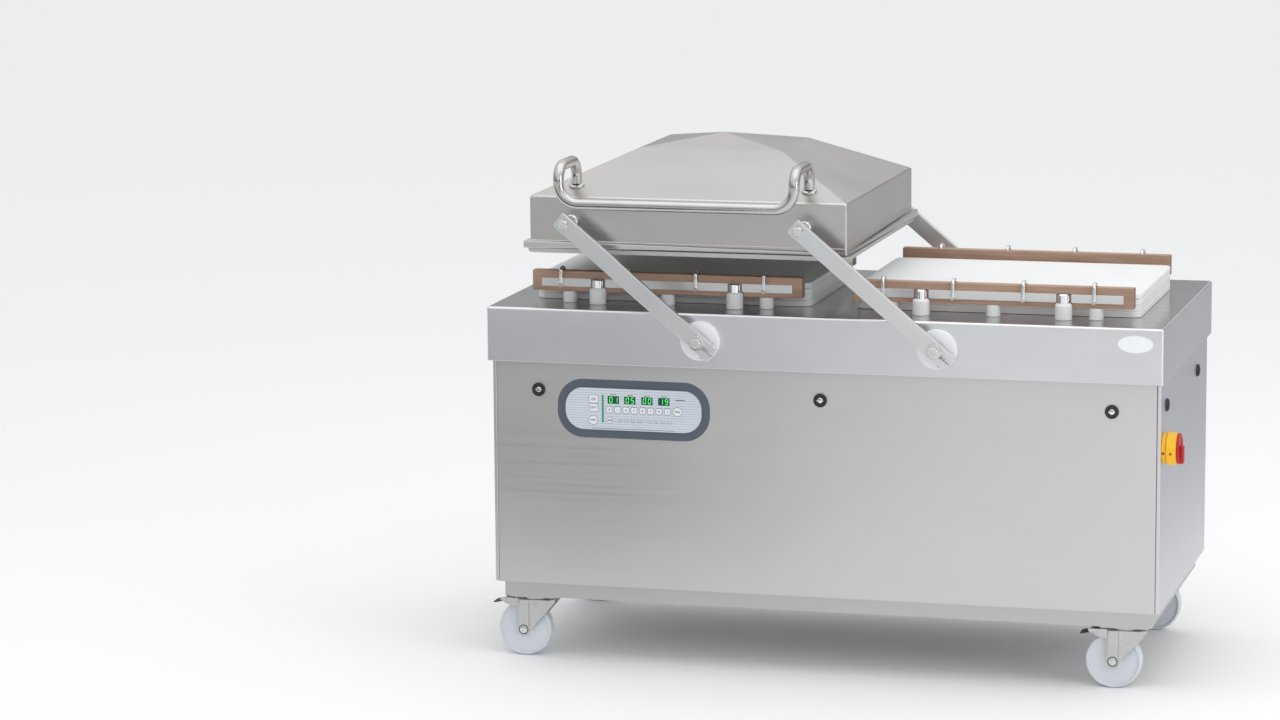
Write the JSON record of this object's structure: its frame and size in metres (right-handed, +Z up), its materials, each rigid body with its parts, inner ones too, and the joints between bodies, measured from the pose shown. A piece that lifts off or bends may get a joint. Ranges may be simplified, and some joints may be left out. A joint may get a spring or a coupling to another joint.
{
  "type": "vacuum chamber sealer",
  "caption": "Free-standing stainless vacuum packing machine: one hipped lid on parallel swing arms serves two sealing stations side by side on a cabinet with swivel casters.",
  "frame": {"origin": "on the floor, below the middle of the machine's outline", "axes": "+X to the operator's right, +Y away from the operator towards the rear, +Z up"},
  "size_m": [1.5921, 0.8786, 1.1866],
  "materials": {
    "base_frame": "brushed stainless sheet",
    "cabinet_frame": "brushed stainless sheet",
    "control_bezel": "textured slate moulding",
    "control_box": "grey paint",
    "front_counter_bar": "silicone",
    "front_left_arm": "brushed stainless sheet",
    "front_left_brake_pedal": "brushed stainless sheet",
    "front_left_caster_fork": "brushed stainless sheet",
    "front_left_caster_wheel": "moulded nylon",
    "front_left_lift_unit": "white polyethylene",
    "front_left_lift_yoke": "hard-chromed",
    "front_left_pivot_disc": "white polyethylene",
    "front_left_seal_bar": "brown phenolic laminate",
    "front_panel": "brushed stainless sheet",
    "front_right_arm": "brushed stainless sheet",
    "front_right_brake_pedal": "brushed stainless sheet",
    "front_right_caster_fork": "brushed stainless sheet",
    "front_right_caster_wheel": "moulded nylon",
    "front_right_lift_unit": "white polyethylene",
    "front_right_lift_yoke": "hard-chromed",
    "front_right_pivot_disc": "white polyethylene",
    "front_right_seal_bar": "brown phenolic laminate",
    "keypad_panel": "printed membrane foil",
    "left_balance_spring": "brushed stainless sheet",
    "left_cross_shaft": "brushed stainless sheet",
    "left_lower_plates": "white polyethylene",
    "left_panel_lock": "black moulding with a steel pin",
    "left_side_panel": "brushed stainless sheet",
    "left_upper_plate": "white polyethylene",
    "lid_gasket": "silicone",
    "lid_handle": "brushed stainless sheet",
    "lid_hood": "brushed stainless sheet",
    "middle_panel_lock": "black moulding with a steel pin",
    "rear_counter_bar": "silicone",
    "rear_left_arm": "brushed stainless sheet",
    "rear_left_caster_fork": "brushed stainless sheet",
    "rear_left_caster_wheel": "moulded nylon",
    "rear_left_lift_unit": "white polyethylene",
    "rear_left_lift_yoke": "hard-chromed",
    "rear_left_pivot_disc": "white polyethylene",
    "rear_left_seal_bar": "brown phenolic laminate",
    "rear_panel": "brushed stainless sheet",
    "rear_right_arm": "brushed stainless sheet",
    "rear_right_caster_fork": "brushed stainless sheet",
    "rear_right_caster_wheel": "moulded nylon",
    "rear_right_lift_unit": "white polyethylene",
    "rear_right_lift_yoke": "hard-chromed",
    "rear_right_pivot_disc": "white polyethylene",
    "rear_right_seal_bar": "brown phenolic laminate",
    "right_balance_spring": "brushed stainless sheet",
    "right_cross_shaft": "brushed stainless sheet",
    "right_lower_plates": "white polyethylene",
    "right_panel_lock": "black moulding with a steel pin",
    "right_side_panel": "brushed stainless sheet",
    "right_upper_plate": "white polyethylene",
    "sealing_transformer": "grey paint",
    "switch_body": "yellow moulding",
    "switch_knob": "red moulding",
    "table_top": "fine-brushed stainless, nearly a mirror",
    "vacuum_pump": "painted light-alloy casting"
  },
  "bodies": {
    "cabinet": {"base_frame": "base_frame", "cabinet_frame": "cabinet_frame", "control_bezel": "control_bezel", "control_box": "control_box", "front_left_lift_unit": "front_left_lift_unit", "front_left_pivot_disc": "front_left_pivot_disc", "front_panel": "front_panel", "front_right_lift_unit": "front_right_lift_unit", "front_right_pivot_disc": "front_right_pivot_disc", "keypad_panel": "keypad_panel", "left_balance_spring": "left_balance_spring", "left_lower_plates": "left_lower_plates", "left_side_panel": "left_side_panel", "left_upper_plate": "left_upper_plate", "rear_left_lift_unit": "rear_left_lift_unit", "rear_left_pivot_disc": "rear_left_pivot_disc", "rear_panel": "rear_panel", "rear_right_lift_unit": "rear_right_lift_unit", "rear_right_pivot_disc": "rear_right_pivot_disc", "right_balance_spring": "right_balance_spring", "right_lower_plates": "right_lower_plates", "right_side_panel": "right_side_panel", "right_upper_plate": "right_upper_plate", "sealing_transformer": "sealing_transformer", "switch_body": "switch_body", "table_top": "table_top", "vacuum_pump": "vacuum_pump"},
    "left_swing": {"front_left_arm": "front_left_arm", "rear_left_arm": "rear_left_arm", "left_cross_shaft": "left_cross_shaft"},
    "right_swing": {"front_right_arm": "front_right_arm", "rear_right_arm": "rear_right_arm", "right_cross_shaft": "right_cross_shaft"},
    "lid": {"lid_hood": "lid_hood", "lid_gasket": "lid_gasket", "lid_handle": "lid_handle", "front_counter_bar": "front_counter_bar", "rear_counter_bar": "rear_counter_bar"},
    "front_left_lift": {"front_left_seal_bar": "front_left_seal_bar", "front_left_lift_yoke": "front_left_lift_yoke"},
    "front_right_lift": {"front_right_seal_bar": "front_right_seal_bar", "front_right_lift_yoke": "front_right_lift_yoke"},
    "rear_left_lift": {"rear_left_seal_bar": "rear_left_seal_bar", "rear_left_lift_yoke": "rear_left_lift_yoke"},
    "rear_right_lift": {"rear_right_seal_bar": "rear_right_seal_bar", "rear_right_lift_yoke": "rear_right_lift_yoke"},
    "switch_knob": {"switch_knob": "switch_knob"},
    "left_lock": {"left_panel_lock": "left_panel_lock"},
    "middle_lock": {"middle_panel_lock": "middle_panel_lock"},
    "right_lock": {"right_panel_lock": "right_panel_lock"},
    "front_left_fork": {"front_left_caster_fork": "front_left_caster_fork"},
    "front_left_wheel": {"front_left_caster_wheel": "front_left_caster_wheel"},
    "front_right_fork": {"front_right_caster_fork": "front_right_caster_fork"},
    "front_right_wheel": {"front_right_caster_wheel": "front_right_caster_wheel"},
    "rear_left_fork": {"rear_left_caster_fork": "rear_left_caster_fork"},
    "rear_left_wheel": {"rear_left_caster_wheel": "rear_left_caster_wheel"},
    "rear_right_fork": {"rear_right_caster_fork": "rear_right_caster_fork"},
    "rear_right_wheel": {"rear_right_caster_wheel": "rear_right_caster_wheel"},
    "front_left_pedal": {"front_left_brake_pedal": "front_left_brake_pedal"},
    "front_right_pedal": {"front_right_brake_pedal": "front_right_brake_pedal"}
  },
  "joints": [
    {"name": "left_swing", "type": "hinge", "parent": "cabinet", "child": "left_swing", "pos_m": [-0.2823, 0.01785, 0.759], "axis": [0, 1, 0], "range_deg": [-20.5, 120.5], "stiffness_Nm_per_rad": 52.9, "springref_deg": 50},
    {"name": "right_swing", "type": "hinge", "parent": "cabinet", "child": "right_swing", "pos_m": [0.2563, 0.01785, 0.759], "axis": [0, 1, 0], "range_deg": [-20.6, 120.6], "stiffness_Nm_per_rad": 52.9, "springref_deg": 50},
    {"name": "lid_level", "type": "hinge", "parent": "left_swing", "child": "lid", "pos_m": [-0.58872, 0.01785, 1.01612], "axis": [0, 1, 0], "range_deg": [-120.6, 20.6]},
    {"name": "front_left_lift", "type": "slide", "parent": "cabinet", "child": "front_left_lift", "axis": [0, 0, 1], "range_m": [0, 0.012]},
    {"name": "front_right_lift", "type": "slide", "parent": "cabinet", "child": "front_right_lift", "axis": [0, 0, 1], "range_m": [0, 0.012]},
    {"name": "rear_left_lift", "type": "slide", "parent": "cabinet", "child": "rear_left_lift", "axis": [0, 0, 1], "range_m": [0, 0.012]},
    {"name": "rear_right_lift", "type": "slide", "parent": "cabinet", "child": "rear_right_lift", "axis": [0, 0, 1], "range_m": [0, 0.012]},
    {"name": "switch_turn", "type": "hinge", "parent": "cabinet", "child": "switch_knob", "pos_m": [0.786, -0.29915, 0.548], "axis": [1, 0, 0], "range_deg": [0, 90]},
    {"name": "left_lock_turn", "type": "hinge", "parent": "cabinet", "child": "left_lock", "pos_m": [-0.6675, -0.33615, 0.6305], "axis": [0, 1, 0], "range_deg": [0, 90]},
    {"name": "middle_lock_turn", "type": "hinge", "parent": "cabinet", "child": "middle_lock", "pos_m": [-0.013, -0.33615, 0.6305], "axis": [0, 1, 0], "range_deg": [0, 90]},
    {"name": "right_lock_turn", "type": "hinge", "parent": "cabinet", "child": "right_lock", "pos_m": [0.6415, -0.33615, 0.6305], "axis": [0, 1, 0], "range_deg": [0, 90]},
    {"name": "front_left_swivel", "type": "hinge", "parent": "cabinet", "child": "front_left_fork", "pos_m": [-0.695, -0.27565, 0.1455], "axis": [0, 0, 1], "continuous": true},
    {"name": "front_left_roll", "type": "hinge", "parent": "front_left_fork", "child": "front_left_wheel", "pos_m": [-0.721, -0.27565, 0.0625], "axis": [0, 1, 0], "continuous": true},
    {"name": "front_left_brake", "type": "hinge", "parent": "front_left_fork", "child": "front_left_pedal", "pos_m": [-0.755, -0.27565, 0.1302], "axis": [0, 1, 0], "range_deg": [-15, 0]},
    {"name": "front_right_swivel", "type": "hinge", "parent": "cabinet", "child": "front_right_fork", "pos_m": [0.669, -0.27565, 0.1455], "axis": [0, 0, 1], "continuous": true},
    {"name": "front_right_roll", "type": "hinge", "parent": "front_right_fork", "child": "front_right_wheel", "pos_m": [0.643, -0.27565, 0.0625], "axis": [0, 1, 0], "continuous": true},
    {"name": "front_right_brake", "type": "hinge", "parent": "front_right_fork", "child": "front_right_pedal", "pos_m": [0.609, -0.27565, 0.1302], "axis": [0, 1, 0], "range_deg": [-15, 0]},
    {"name": "rear_left_swivel", "type": "hinge", "parent": "cabinet", "child": "rear_left_fork", "pos_m": [-0.695, 0.31135, 0.1455], "axis": [0, 0, 1], "continuous": true},
    {"name": "rear_left_roll", "type": "hinge", "parent": "rear_left_fork", "child": "rear_left_wheel", "pos_m": [-0.721, 0.31135, 0.0625], "axis": [0, 1, 0], "continuous": true},
    {"name": "rear_right_swivel", "type": "hinge", "parent": "cabinet", "child": "rear_right_fork", "pos_m": [0.669, 0.31135, 0.1455], "axis": [0, 0, 1], "continuous": true},
    {"name": "rear_right_roll", "type": "hinge", "parent": "rear_right_fork", "child": "rear_right_wheel", "pos_m": [0.643, 0.31135, 0.0625], "axis": [0, 1, 0], "continuous": true}
  ],
  "couplings": [
    {"joint": "right_swing", "follows": "left_swing", "ratio": 1},
    {"joint": "lid_level", "follows": "left_swing", "ratio": -1}
  ]
}
